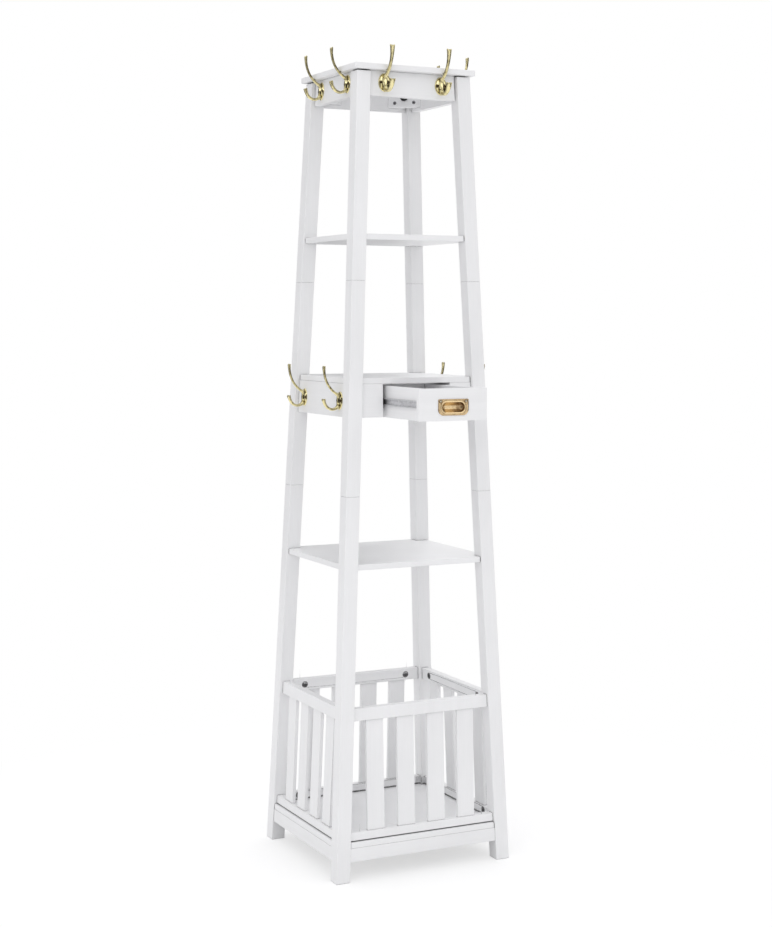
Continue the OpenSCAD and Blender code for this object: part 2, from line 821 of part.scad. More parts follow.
module hook() {
    root = [3, 0.28 * hook_h];
    upper = [
        root, [0.48 * prong_out, 0.24 * prong_up], [prong_out + 0.5, 0.5 * prong_up], [prong_out, prong_up],
    ];
    lower = [
        [root[0], -root[1]], [14, -1.35 * prong_down], [prong_out - 6, -1.2 * prong_down],
        [prong_out - 1.5, 4],
    ];
    lower_w = 1.2 * prong_w;
    difference() {
        union() {
            oval_dome([[0, 1, 1], [1.4, 1, 1], [2.8, 0.84, 0.84], [3.5, 0.55, 0.55]]);
            oval_dome([[2, 0.36, 0.8], [4.6, 0.34, 0.76], [6.2, 0.27, 0.66], [7, 0.16, 0.5]]);
            prong(upper, prong_w, [0, 0.12, 0.25, 0.4, 0.55, 0.7, 0.82, 0.9, 0.96, 1]);
            prong(lower, lower_w, [0, 0.15, 0.3, 0.45, 0.6, 0.75, 0.87, 0.94, 1]);
        }
        hook_screw(fit);
    }
}

module hooks_top(k) {
    color(brass) for (e = [-1, 1]) on_face(k, e * hook_top_u, hook_top_z, top_apron_inset) hook();
}

module hooks_middle(k) {
    color(brass) for (e = [-1, 1]) on_face(k, e * hook_mid_u, hook_mid_z, box_inset) hook();
}

module hook_screws() {
    color(brass) {
        for (k = HOOKED_APRONS) for (e = [-1, 1])
            on_face(k, e * hook_top_u, hook_top_z, top_apron_inset) hook_screw();
        for (k = HOOKED_PANELS) for (e = [-1, 1])
            on_face(k, e * hook_mid_u, hook_mid_z, box_inset) hook_screw();
    }
}

leg(0, 0);  // leg_front_right_lower
leg(0, 1);  // leg_front_right_middle
leg(0, 2);  // leg_front_right_upper
leg(1, 0);  // leg_back_right_lower
leg(1, 1);  // leg_back_right_middle
leg(1, 2);  // leg_back_right_upper
leg(2, 0);  // leg_back_left_lower
leg(2, 1);  // leg_back_left_middle
leg(2, 2);  // leg_back_left_upper
leg(3, 0);  // leg_front_left_lower
leg(3, 1);  // leg_front_left_middle
leg(3, 2);  // leg_front_left_upper
leg_studs();
top_panel();
top_apron(0);  // top_apron_front
top_apron(1);  // top_apron_right
top_apron(2);  // top_apron_back
top_apron(3);  // top_apron_left
corner_blocks();
corner_bolts();
block_screws();
shelf(upper_shelf_z, shelf_inset);  // upper_shelf
shelf(lower_shelf_z, shelf_inset);  // lower_shelf
shelf_pins();
box_top();
box_panel(1);  // box_panel_right
box_panel(2);  // box_panel_back
box_panel(3);  // box_panel_left
box_stile(1);  // box_stile_right
box_stile(-1);  // box_stile_left
box_partition(1);  // box_partition_right
box_partition(-1);  // box_partition_left
frame_dowels();
slide_channels();
slide_runners();
ball_cages();
drawer_front();
drawer_side(1);  // drawer_side_right
drawer_side(-1);  // drawer_side_left
drawer_back();
drawer_bottom();
drawer_pull();
pull_screws();
basket_side(0);  // basket_front
basket_side(1);  // basket_right
basket_side(2);  // basket_back
basket_side(3);  // basket_left
cam_locks();
cam_bolts();
corner_plates();
bottom_board();
base_aprons();
hooks_top(0);  // hooks_top_front
hooks_top(1);  // hooks_top_right
hooks_top(3);  // hooks_top_left
hooks_middle(1);  // hooks_middle_right
hooks_middle(3);  // hooks_middle_left
hook_screws();
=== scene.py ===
import math

import bmesh
import bpy
import numpy as np
from mathutils import Matrix, Vector


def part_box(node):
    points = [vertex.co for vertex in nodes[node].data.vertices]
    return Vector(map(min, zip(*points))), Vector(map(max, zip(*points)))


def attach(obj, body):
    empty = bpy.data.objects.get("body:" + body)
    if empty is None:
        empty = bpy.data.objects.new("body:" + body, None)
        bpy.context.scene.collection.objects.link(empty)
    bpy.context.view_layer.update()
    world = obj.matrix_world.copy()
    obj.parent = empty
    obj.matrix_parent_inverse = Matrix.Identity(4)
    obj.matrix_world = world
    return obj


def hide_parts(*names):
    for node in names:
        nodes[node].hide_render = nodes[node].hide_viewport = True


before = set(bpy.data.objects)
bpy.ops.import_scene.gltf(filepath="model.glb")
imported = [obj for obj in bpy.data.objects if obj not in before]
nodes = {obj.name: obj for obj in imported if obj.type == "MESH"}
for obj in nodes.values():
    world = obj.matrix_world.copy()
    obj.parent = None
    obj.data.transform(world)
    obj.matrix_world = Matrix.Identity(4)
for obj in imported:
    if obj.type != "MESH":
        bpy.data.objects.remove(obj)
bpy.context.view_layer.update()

# Camera. It stands where the photograph was taken from, at chest height, in front of the
# drawer and to the left of it, and looks slightly down.
CAMERA_PLACE = (-1.769, -3.571, 1.247)
CAMERA_TURN = math.radians(26.35)
CAMERA_DIP = math.radians(4.83)
CAMERA_ROLL = math.radians(0.10)
SENSOR_MM = 36
FOCAL_PX = 1722
PHOTO_HEIGHT_PX = 927

lens = bpy.data.cameras.new("camera")
lens.sensor_width = SENSOR_MM
lens.lens = FOCAL_PX * SENSOR_MM / PHOTO_HEIGHT_PX
camera = bpy.data.objects.new("camera", lens)
camera.matrix_world = (
    Matrix.Translation(CAMERA_PLACE)
    @ Matrix.Rotation(-CAMERA_TURN, 4, "Z")
    @ Matrix.Rotation(math.pi / 2 - CAMERA_DIP, 4, "X")
    @ Matrix.Rotation(CAMERA_ROLL, 4, "Z")
)
bpy.context.scene.collection.objects.link(camera)
bpy.context.scene.camera = camera
bpy.context.scene.view_settings.view_transform = "Standard"


# Room. A white floor runs out to a white backdrop, as in a catalogue studio, and keeps
# the stand's soft shadow near the feet. Nodes are laid with small helpers from here on.
def add(tree, kind, inputs=None, **settings):
    """One node of that kind. An input is linked if it is given a socket, and else set."""
    node = tree.nodes.new(kind)
    for key, value in settings.items():
        setattr(node, key, value)
    for key, value in (inputs or {}).items():
        if isinstance(value, bpy.types.NodeSocket):
            tree.links.new(value, node.inputs[key])
        else:
            node.inputs[key].default_value = value
    return node


def math_node(tree, operation, a, b):
    """The result of one operation on two values."""
    return add(tree, "ShaderNodeMath", {0: a, 1: b}, operation=operation).outputs[0]


def ranged(tree, value, low, high, start=0.0, end=1.0):
    """value, taken from the range start to end into the range low to high, and clamped."""
    return add(tree, "ShaderNodeMapRange", {
        "Value": value, "From Min": start, "From Max": end,
        "To Min": low, "To Max": high}).outputs["Result"]


def background_seen(tree):
    """1 for a ray that should meet plain white: one from the camera, or one that metal or
    glass sends on."""
    path = add(tree, "ShaderNodeLightPath")
    sent_on = math_node(tree, "MAXIMUM",
                        path.outputs["Is Glossy Ray"], path.outputs["Is Transmission Ray"])
    return math_node(tree, "MAXIMUM", path.outputs["Is Camera Ray"], sent_on)


def empty_material(name):
    """A material without nodes, and its tree."""
    material = bpy.data.materials.new(name)
    material.use_nodes = True
    material.node_tree.nodes.clear()
    return material, material.node_tree


def object_place(tree):
    """The place on a piece in metres, in the piece's own frame."""
    return add(tree, "ShaderNodeTexCoord").outputs["Object"]


WHITE = (1, 1, 1, 1)
AMBIENT_TINT = (0.985, 0.985, 1, 1)
WALL_LIGHT = 0.35
CEILING_LIGHT = 1.07
WALL_TOP = 0.05
CEILING_EDGE = 0.35

world = bpy.data.worlds.new("studio")
bpy.context.scene.world = world
world.use_nodes = True
sky = world.node_tree
sky.nodes.clear()
direction = add(sky, "ShaderNodeTexCoord").outputs["Generated"]
rise = add(sky, "ShaderNodeSeparateXYZ", {0: direction}).outputs["Z"]
ambient = add(sky, "ShaderNodeBackground", {
    "Color": AMBIENT_TINT,
    "Strength": ranged(sky, rise, WALL_LIGHT, CEILING_LIGHT, WALL_TOP, CEILING_EDGE)})
backdrop = add(sky, "ShaderNodeBackground", {"Color": WHITE, "Strength": 1})
either = add(sky, "ShaderNodeMixShader",
             {0: background_seen(sky), 1: ambient.outputs[0], 2: backdrop.outputs[0]})
add(sky, "ShaderNodeOutputWorld", {"Surface": either.outputs[0]})

FLOOR_HALF = 9.0
# Distances from the stand's middle, between which the floor turns to plain white
WHITE_FROM = 0.42
WHITE_TO = 1.3
WHITE_LEAST = 0.45
# Distances between which the floor's own gray grows lighter, and its two tones
GRAY_FROM = 0.8
GRAY_TO = 2.5
GRAY_NEAR = 0.86
GRAY_FAR = 0.95
FLOOR_GLOW = 0.16

floor_mesh = bpy.data.meshes.new("floor")
floor_mesh.from_pydata(
    [(-FLOOR_HALF, -FLOOR_HALF, 0), (FLOOR_HALF, -FLOOR_HALF, 0),
     (FLOOR_HALF, FLOOR_HALF, 0), (-FLOOR_HALF, FLOOR_HALF, 0)], [], [(0, 1, 2, 3)])
floor = bpy.data.objects.new("floor", floor_mesh)
bpy.context.scene.collection.objects.link(floor)

floor_paint, tree = empty_material("floor_white")
seen = background_seen(tree)
away = add(tree, "ShaderNodeVectorMath", {0: object_place(tree)},
           operation="LENGTH").outputs["Value"]
whiteness = math_node(tree, "MULTIPLY", seen,
                      ranged(tree, away, WHITE_LEAST, 1.0, WHITE_FROM, WHITE_TO))
tone = ranged(tree, away, GRAY_NEAR, GRAY_FAR, GRAY_FROM, GRAY_TO)
gray = add(tree, "ShaderNodeCombineColor", {0: tone, 1: tone, 2: tone}).outputs[0]
matte = add(tree, "ShaderNodeBsdfDiffuse", {"Color": gray})
lift = math_node(tree, "MULTIPLY", seen, FLOOR_GLOW)
glow = add(tree, "ShaderNodeEmission", {"Color": WHITE, "Strength": lift})
lit = add(tree, "ShaderNodeAddShader", {0: matte.outputs[0], 1: glow.outputs[0]})
plain = add(tree, "ShaderNodeEmission", {"Color": WHITE, "Strength": 1})
shown = add(tree, "ShaderNodeMixShader", {0: whiteness, 1: lit.outputs[0], 2: plain.outputs[0]})
add(tree, "ShaderNodeOutputMaterial", {"Surface": shown.outputs[0]})
floor_mesh.materials.append(floor_paint)


# Lamps. A wide soft box stands at the left of the camera, and a weaker one hangs high at
# its right, so that the faces toward the camera are nearly even and shadows fall behind.
def soft_box(name, place, aim, size, watts):
    """A square area lamp of that size at place, which faces aim."""
    data = bpy.data.lights.new(name, "AREA")
    data.shape = "SQUARE"
    data.size = size
    data.energy = watts
    lamp = bpy.data.objects.new(name, data)
    facing = (Vector(aim) - Vector(place)).to_track_quat("-Z", "Y")
    lamp.matrix_world = Matrix.Translation(place) @ facing.to_matrix().to_4x4()
    lamp.visible_camera = False
    bpy.context.scene.collection.objects.link(lamp)


soft_box("right_soft_box", (0.9, -3.0, 3.0), aim=(0, 0, 1.9), size=1.8, watts=4)
soft_box("left_soft_box", (-2.6, -2.7, 2.2), aim=(0, 0, 0.6), size=2.4, watts=18)


# Flags. Black cloths stand round the studio where only polished metal sees them, and give
# the brass its dark streaks.
def flag(name, place, half_width, half_height, black):
    """An upright black cloth at place, which faces the middle of the stand."""
    toward = Vector((-place[0], -place[1], 0)).normalized()
    side = Vector((-toward.y, toward.x, 0)) * half_width
    rise = Vector((0, 0, half_height))
    middle = Vector(place)
    mesh = bpy.data.meshes.new(name)
    mesh.from_pydata([middle - side - rise, middle + side - rise,
                      middle + side + rise, middle - side + rise], [], [(0, 1, 2, 3)])
    mesh.materials.append(black)
    cloth = bpy.data.objects.new(name, mesh)
    for ray in ("camera", "diffuse", "transmission", "volume_scatter", "shadow"):
        setattr(cloth, f"visible_{ray}", False)
    bpy.context.scene.collection.objects.link(cloth)


FLAG_DISTANCE = 2.6
FLAG_HALF_HEIGHT = 1.1
# Each flag's direction from the stand in degrees, its half width and its middle's height
FLAGS = [(-138, 0.95, 1.3), (-98, 0.25, 1.3), (-42, 0.55, 1.4), (-8, 0.35, 1.3), (32, 0.6, 1.4),
         (72, 0.45, 1.3), (112, 0.6, 1.4), (150, 0.35, 1.3), (178, 0.4, 1.3)]

cloth_black, tree = empty_material("cloth_black")
dark = add(tree, "ShaderNodeBsdfDiffuse", {"Color": (0.02, 0.02, 0.02, 1)})
add(tree, "ShaderNodeOutputMaterial", {"Surface": dark.outputs[0]})
for number, (bearing, half_width, height) in enumerate(FLAGS):
    turn = math.radians(bearing)
    place = (FLAG_DISTANCE * math.cos(turn), FLAG_DISTANCE * math.sin(turn), height)
    flag(f"flag_{number}", place, half_width, FLAG_HALF_HEIGHT, cloth_black)


# Painted wood. The legs, rails, slats and boards are sprayed with one satin white film:
# the grain shows through it as a faint relief, and most arrises are eased by a sanding
# block.
def effect(name, inputs, outputs):
    """An empty node group with those sockets, and its two end nodes."""
    group = bpy.data.node_groups.new(name, "ShaderNodeTree")
    for label, kind, value in inputs:
        socket = group.interface.new_socket(label, in_out="INPUT", socket_type=kind)
        if value is not None:
            socket.default_value = value
    for label, kind in outputs:
        group.interface.new_socket(label, in_out="OUTPUT", socket_type=kind)
    return group, group.nodes.new("NodeGroupInput"), group.nodes.new("NodeGroupOutput")


def noise(tree, place, scale, detail=2.0, roughness=0.5):
    """The value, from 0 to 1, of a noise at place, with scale waves to the metre."""
    return add(tree, "ShaderNodeTexNoise", {
        "Vector": place, "Scale": scale, "Detail": detail,
        "Roughness": roughness}).outputs["Fac"]


def times(tree, vector, factor):
    """A place or a colour, multiplied axis by axis."""
    return add(tree, "ShaderNodeVectorMath", {0: vector, 1: factor},
               operation="MULTIPLY").outputs["Vector"]


def relief(tree, height, depth, strength):
    """The normal of a surface on which a height of 1 stands for depth metres."""
    return add(tree, "ShaderNodeBump", {
        "Strength": strength, "Distance": depth, "Height": height}).outputs["Normal"]


def placed(tree, group, inputs):
    """A node group in a material, with its own inputs there."""
    return add(tree, "ShaderNodeGroup", inputs, node_tree=group)


def end_in_surface(tree, inputs):
    """Ends a material in a Principled BSDF with those inputs."""
    surface = add(tree, "ShaderNodeBsdfPrincipled", inputs)
    add(tree, "ShaderNodeOutputMaterial", {"Surface": surface.outputs[0]})


GRAIN_WAVES = (420, 420, 7)
FIGURE_WAVES = (38, 38, 1.6)
PEEL_WAVES = 520.0
CLOUD_WAVES = 5.5
GRAIN_SHADE = 0.018
FIGURE_SHADE = 0.022
FILM_ROUGHNESS = 0.36
GLOSS_SPREAD = 0.05


def build_film():
    """Sprayed film over grain: fine orange peel, a long grain along Z and slow changes of
    tone."""
    group, start, end = effect(
        "sprayed_film",
        [("Along Z", "NodeSocketVector", None),
         ("Color", "NodeSocketColor", (0.8, 0.8, 0.8, 1)), ("Grain", "NodeSocketFloat", 1.0)],
        [("Color", "NodeSocketColor"), ("Roughness", "NodeSocketFloat"),
         ("Height", "NodeSocketFloat")])
    place, strength = start.outputs["Along Z"], start.outputs["Grain"]
    grain = noise(group, times(group, place, GRAIN_WAVES), 1.0, 3.0, 0.6)
    figure = noise(group, times(group, place, FIGURE_WAVES), 1.0)
    peel = noise(group, place, PEEL_WAVES, 1.0)
    cloud = noise(group, place, CLOUD_WAVES, 3.0)
    lines = math_node(group, "MULTIPLY", ranged(group, grain, 0.0, 1.0, 0.35, 0.72), strength)
    bands = math_node(group, "MULTIPLY",
                      ranged(group, figure, 0.0, FIGURE_SHADE, 0.4, 0.7), strength)
    tone = math_node(group, "SUBTRACT", ranged(group, cloud, 0.972, 1.012, 0.3, 0.7),
                     math_node(group, "MULTIPLY", lines, GRAIN_SHADE))
    tone = math_node(group, "SUBTRACT", tone, bands)
    group.links.new(times(group, start.outputs["Color"], tone), end.inputs["Color"])
    rough = math_node(group, "ADD", math_node(group, "MULTIPLY", lines, 0.05), FILM_ROUGHNESS)
    spread = math_node(group, "MULTIPLY", ranged(group, cloud, -1.0, 1.0, 0.3, 0.7),
                       GLOSS_SPREAD)
    group.links.new(math_node(group, "ADD", rough, spread), end.inputs["Roughness"])
    height = math_node(group, "SUBTRACT", math_node(group, "MULTIPLY", peel, 0.35), lines)
    group.links.new(height, end.inputs["Height"])
    return group


JOINT_SHADE = 0.03


def build_joint_shade():
    """Painted shade in narrow joints: 1 in the open, and down to JOINT_SHADE where the share
    of the ways out of a place that stay free for Reach metres falls from Free to Shut."""
    group, start, end = effect(
        "joint_painted_shade",
        [("Reach", "NodeSocketFloat", 0.004), ("Shut", "NodeSocketFloat", 0.2),
         ("Free", "NodeSocketFloat", 0.7)],
        [("Shade Factor", "NodeSocketFloat")])
    # Painted shade: ambient occlusion darkens places that other parts close in.
    share = add(group, "ShaderNodeAmbientOcclusion", {"Distance": start.outputs["Reach"]},
                samples=6).outputs["AO"]
    painted_shade_factor = ranged(group, share, JOINT_SHADE, 1.0,
                   start.outputs["Shut"], start.outputs["Free"])
    group.links.new(painted_shade_factor, end.inputs["Shade Factor"])
    return group


FILM = build_film()
JOINT_SHADE_GROUP = build_joint_shade()
FILM_RELIEF = 0.00006
JOINT_REACH = 0.004


def painted(name, color, turn=(0, 0, 0), grain=1.0, top_painted_light=1.0):
    """A material of the sprayed film, with the grain's direction turned from Z. Faces that
    look up get a painted light, brighter by the given factor, and a painted shade darkens narrow
    joints."""
    material, tree = empty_material(name)
    along = add(tree, "ShaderNodeMapping",
                {"Vector": object_place(tree), "Rotation": turn}).outputs["Vector"]
    film = placed(tree, FILM, {"Along Z": along, "Color": (*color, 1), "Grain": grain})
    # A painted shade darkens narrow joints.
    painted_shade_factor = placed(tree, JOINT_SHADE_GROUP, {"Reach": JOINT_REACH, "Shut": 0.2, "Free": 0.7}).outputs["Shade Factor"]
    # Painted light: faces that look up are made brighter.
    if top_painted_light != 1.0:
        normal = add(tree, "ShaderNodeTexCoord").outputs["Normal"]
        up = add(tree, "ShaderNodeSeparateXYZ", {0: normal}).outputs["Z"]
        painted_shade_factor = math_node(tree, "MULTIPLY", painted_shade_factor, ranged(tree, up, 1.0, top_painted_light, 0.6, 0.95))
    end_in_surface(tree, {
        "Base Color": times(tree, film.outputs["Color"], painted_shade_factor),
        "Roughness": film.outputs["Roughness"],
        "Normal": relief(tree, film.outputs["Height"], FILM_RELIEF, 0.5),
        "IOR": 1.46, "Specular IOR Level": 0.45})
    return material


def dress(names, material):
    """Gives CAD nodes their material."""
    for name in names:
        nodes[name].data.materials.clear()
        nodes[name].data.materials.append(material)


MERGE_REACH = 0.00002
FLAT_WITHIN = math.radians(1)
ARRIS_OVER = math.radians(30)
ARRIS_STEPS = 3


def ease(names, radius, holed=False):
    """Rounds the arrises: points are merged, flat triangles joined, and sharp edges
    bevelled. On holed pieces the triangles stay, because a face round a hole bevels
    badly."""
    for name in names:
        merge = nodes[name].modifiers.new("merge", "WELD")
        merge.merge_threshold = MERGE_REACH
        if not holed:
            flats = nodes[name].modifiers.new("flats", "DECIMATE")
            flats.decimate_type = "DISSOLVE"
            flats.angle_limit = FLAT_WITHIN
        arris = nodes[name].modifiers.new("arris", "BEVEL")
        arris.width = radius
        arris.segments = ARRIS_STEPS
        arris.limit_method = "ANGLE"
        arris.angle_limit = ARRIS_OVER
        arris.use_clamp_overlap = False
        arris.harden_normals = True


ALONG_X = (0, math.radians(90), 0)
ALONG_Y = (math.radians(90), 0, 0)
PAINT = (0.85, 0.85, 0.855)
BOARD_GRAIN = 0.3
paint_upright = painted("white_paint_upright", PAINT)
paint_across = painted("white_paint_across", PAINT, ALONG_X)
paint_deep = painted("white_paint_deep", PAINT, ALONG_Y)
# The board and shelf paints carry a painted light on faces that look up, stronger on the shelf
# paint.
paint_board = painted("white_paint_board", PAINT, ALONG_X, BOARD_GRAIN, top_painted_light=1.03)
paint_shelf = painted("white_paint_shelf", PAINT, ALONG_X, BOARD_GRAIN, top_painted_light=1.085)

# Legs. Each is a square length of solid wood in three pieces, screwed end to end on
# steel studs, so that a fine seam shows at hip and at chest height.
SIDES = ("front", "right", "back", "left")
CORNERS = ("front_right", "back_right", "back_left", "front_left")
legs = [f"leg_{corner}_{tier}" for corner in CORNERS for tier in ("lower", "middle", "upper")]
dress(legs, paint_upright)
ease(legs, 0.0010)


# Steel fittings. Studs, pins, bolts, angle plates and ball cages are steel with a dull
# zinc skin, mottled by fine crystals. All are pressed or screwed into the wood.
def build_plate():
    """Zinc crystals: cells of one size that change the tone, the gloss and the height a
    little, under slow clouds."""
    group, start, end = effect(
        "zinc_crystals",
        [("Place", "NodeSocketVector", None),
         ("Color", "NodeSocketColor", (0.6, 0.6, 0.62, 1)), ("Cell", "NodeSocketFloat", 700.0)],
        [("Color", "NodeSocketColor"), ("Roughness", "NodeSocketFloat"),
         ("Height", "NodeSocketFloat")])
    place = start.outputs["Place"]
    cells = add(group, "ShaderNodeTexVoronoi",
                {"Vector": place, "Scale": start.outputs["Cell"]}).outputs["Color"]
    chance = add(group, "ShaderNodeSeparateColor", {"Color": cells})
    cloud = noise(group, place, 60.0, 3.0)
    tone = math_node(group, "MULTIPLY", ranged(group, chance.outputs["Red"], 0.80, 1.0),
                     ranged(group, cloud, 0.86, 1.05, 0.3, 0.7))
    group.links.new(times(group, start.outputs["Color"], tone), end.inputs["Color"])
    group.links.new(ranged(group, chance.outputs["Green"], 0.34, 0.52), end.inputs["Roughness"])
    group.links.new(chance.outputs["Blue"], end.inputs["Height"])
    return group


PLATE = build_plate()
PLATE_RELIEF = 0.00002


def plated(name, color, cell=700.0, shade_reach=0.0015, metal=0.6):
    """A material of zinc-plated steel with crystals of 1 / cell metres. A painted shade
    darkens it in gaps of about the given reach, in metres."""
    material, tree = empty_material(name)
    skin = placed(tree, PLATE, {"Place": object_place(tree), "Color": (*color, 1), "Cell": cell})
    # A painted shade darkens narrow gaps and the deep ends of the slides.
    painted_shade_factor = placed(tree, JOINT_SHADE_GROUP, {"Reach": shade_reach, "Shut": 0.15, "Free": 0.45}).outputs["Shade Factor"]
    end_in_surface(tree, {
        "Base Color": times(tree, skin.outputs["Color"], painted_shade_factor),
        "Roughness": skin.outputs["Roughness"],
        "Normal": relief(tree, skin.outputs["Height"], PLATE_RELIEF, 0.3),
        "Metallic": metal})
    return material


dress(["leg_studs", "shelf_pins", "cam_bolts", "ball_cages"],
      plated("zinc_plate", (0.66, 0.66, 0.68)))
dress(["corner_plates"], plated("plate_zinc", (0.80, 0.80, 0.81), metal=0.15))
ease(["corner_plates"], 0.0003)

# Base. Four aprons under the bottom board hold the feet apart. Beech dowels join them to
# the legs, and the board is notched round the legs and pinned at each corner.
dress(["bottom_board"], paint_shelf)
dress(["base_aprons"], paint_across)
ease(["bottom_board", "base_aprons"], 0.0009)

# Basket. Rails with flat slats in their mortises close the four sides over the bottom
# board and make a bin for umbrellas and shoes.
basket = [f"basket_{side}" for side in SIDES]
dress(basket, paint_upright)
ease(basket, 0.0010, holed=True)


# Cam locks. Round black cams sit flush in the inner faces of the basket rails, one at each
# end, and pull the rails to the legs. A key turns the cross in the face of each.
def ring_faces(rows, columns):
    """Quads of a grid of points whose columns wrap round."""
    row, column = np.meshgrid(np.arange(rows - 1), np.arange(columns), indexing="ij")
    after = (column + 1) % columns
    return np.stack([row * columns + column, row * columns + after,
                     (row + 1) * columns + after, (row + 1) * columns + column],
                    axis=-1).reshape(-1, 4)


def swelling(points, faces):
    """Six times the volume inside: the corner products of the halves of each quad. Inward
    faces give less than 0."""
    a, b, c, d = (points[faces[:, corner]] for corner in range(4))
    return np.sum(np.cross(a, b) * c) + np.sum(np.cross(a, c) * d)


CREASE = math.radians(38)
DOUBLES_WITHIN = 1e-6


def make_piece(name, shells, material, body, stands_for):
    """One object of closed shells. Each is a grid of places in metres, whose columns wrap
    round, with a mark from 0 to 1 for each place. Places that fall together are merged, and
    faces point outward."""
    points, faces, marks, count = [], [], [], 0
    for places, mark in shells:
        flat = places.reshape(-1, 3)
        quads = ring_faces(*places.shape[:2])
        if swelling(flat - flat.mean(axis=0), quads) < 0:
            quads = quads[:, ::-1]
        points.append(flat)
        faces.append(quads + count)
        marks.append(np.broadcast_to(mark, places.shape[:2]).ravel())
        count += len(flat)
    mesh = bpy.data.meshes.new(name)
    mesh.from_pydata(np.concatenate(points).tolist(), [], np.concatenate(faces).tolist())
    layer = mesh.attributes.new("mark", "FLOAT", "POINT")
    layer.data.foreach_set("value", np.concatenate(marks).astype(np.float32))
    shape = bmesh.new()
    shape.from_mesh(mesh)
    bmesh.ops.remove_doubles(shape, verts=shape.verts, dist=DOUBLES_WITHIN)
    shape.to_mesh(mesh)
    shape.free()
    mesh.polygons.foreach_set("use_smooth", np.ones(len(mesh.polygons), dtype=bool))
    mesh.set_sharp_from_angle(angle=CREASE)
    mesh.materials.append(material)
    made = bpy.data.objects.new(name, mesh)
    bpy.context.scene.collection.objects.link(made)
    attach(made, body)
    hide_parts(*stands_for)


def eased(value, start, end):
    """0 below start, 1 above end, and a smooth rise between them."""
    share = np.clip((value - start) / (end - start), 0, 1)
    return share * share * (3 - 2 * share)


MM = 0.001
# The stand in millimetres, at the floor. Each side leans in by its share of the height.
FOOT_HALF_WIDTH = 220
FOOT_HALF_DEPTH = 202
LEAN_ACROSS = 0.045
LEAN_BACK = 129 / 3600
LEG_THICK = 33


def half_across(side, height):
    """Half the stand's width on the front and back, which are sides 0 and 2, and half its
    depth on the right and left, which are 1 and 3, in millimetres."""
    if side % 2 == 0:
        return FOOT_HALF_WIDTH - LEAN_ACROSS * height
    return FOOT_HALF_DEPTH - LEAN_BACK * height


def on_side(points, side, across, height, behind):
    """Millimetres in a fitting's own frame, with -Y outward, laid on a leaning side of the
    stand. They are tilted with the side, moved behind its face, turned a quarter for each
    side from the front, and given in metres."""
    x, y, z = points[..., 0], points[..., 1], points[..., 2]
    out = half_across(side + 1, height)
    lean = math.atan(LEAN_ACROSS if side % 2 else LEAN_BACK)
    tilted_y = y * math.cos(lean) + z * math.sin(lean) + behind - out
    tilted_z = z * math.cos(lean) - y * math.sin(lean) + height
    turn = math.pi / 2 * side
    return MM * np.stack([
        (x + across) * math.cos(turn) - tilted_y * math.sin(turn),
        (x + across) * math.sin(turn) + tilted_y * math.cos(turn), tilted_z], axis=-1)


def cross_mark(x, z, half_width, half_length, softness):
    """1 inside a cross of two bars, 0 outside it, with a soft edge."""
    one = (1 - eased(np.abs(x), half_width, half_width + softness)) \
        * (1 - eased(np.abs(z), half_length, half_length + softness))
    other = (1 - eased(np.abs(z), half_width, half_width + softness)) \
        * (1 - eased(np.abs(x), half_length, half_length + softness))
    return np.maximum(one, other)


def cam_shell(radius, depth):
    """A disc whose face is dished inside a flat rim and has a cross cut into it: rows run
    from the middle of the face to its rim, down the wall and back to the middle. The mark
    is bright colour: wear and a painted highlight on the cut's edges, and a painted highlight in
    a crescent on one half of the rim."""
    on_face, per_turn = 34, 56
    around = np.linspace(0, 2 * math.pi, per_turn, endpoint=False)[None, :]
    rows = np.concatenate([np.linspace(0, 1, on_face), [1, 0]])[:, None] * radius
    face = np.concatenate([np.ones(on_face), [0, 0]])[:, None]
    x, z = rows * np.sin(around), rows * np.cos(around)
    cut = cross_mark(x + z, x - z, half_width=1.5, half_length=5.6, softness=0.5)
    dish = 0.5 * (1 - eased(rows, 0.8 * radius, 0.88 * radius))
    y = np.where(face > 0, -dish - 1.6 * cut, -depth)
    # A painted highlight: a bright crescent on one half of the rim.
    rim = np.exp(-((rows - 0.84 * radius) / 0.35) ** 2) * (np.sin(around) > 0)
    # Wear and a painted highlight on the cut's edges, and the rim's painted highlight.
    wear_and_highlight = np.exp(-((cut - 0.5) / 0.4) ** 2) + rim
    return np.stack([x, y, z], axis=-1), np.clip(wear_and_highlight * face, 0, 1)


def build_oxide():
    """Oxide on metal: noise makes it lighter and duller in patches, and marked places have
    a colour of their own: wear and a painted highlight on a cam's cut and rim, or the dark inside
    a screw's cut."""
    group, start, end = effect(
        "black_oxide",
        [("Place", "NodeSocketVector", None), ("Mark", "NodeSocketFloat", 0.0),
         ("Color", "NodeSocketColor", (0.01, 0.01, 0.01, 1)),
         ("Marked", "NodeSocketColor", (0.5, 0.5, 0.5, 1)), ("Dull", "NodeSocketFloat", 0.4)],
        [("Color", "NodeSocketColor"), ("Roughness", "NodeSocketFloat"),
         ("Height", "NodeSocketFloat")])
    patches = noise(group, start.outputs["Place"], 260.0, 3.0)
    shade = times(group, start.outputs["Color"], ranged(group, patches, 0.6, 1.7, 0.35, 0.7))
    share = math_node(group, "MULTIPLY", start.outputs["Mark"],
                      ranged(group, patches, 0.35, 1.0, 0.35, 0.6))
    mixed = add(group, "ShaderNodeMix",
                {"Factor": share, "A": shade, "B": start.outputs["Marked"]}, data_type="RGBA")
    group.links.new(mixed.outputs["Result"], end.inputs["Color"])
    rough = math_node(group, "ADD", start.outputs["Dull"], ranged(group, patches, -0.08, 0.1))
    group.links.new(rough, end.inputs["Roughness"])
    group.links.new(patches, end.inputs["Height"])
    return group


def mark_here(tree):
    """The mark, from 0 to 1, that make_piece gave this place on the piece."""
    return add(tree, "ShaderNodeAttribute", attribute_name="mark").outputs["Fac"]


OXIDE = build_oxide()
OXIDE_RELIEF = 0.00003


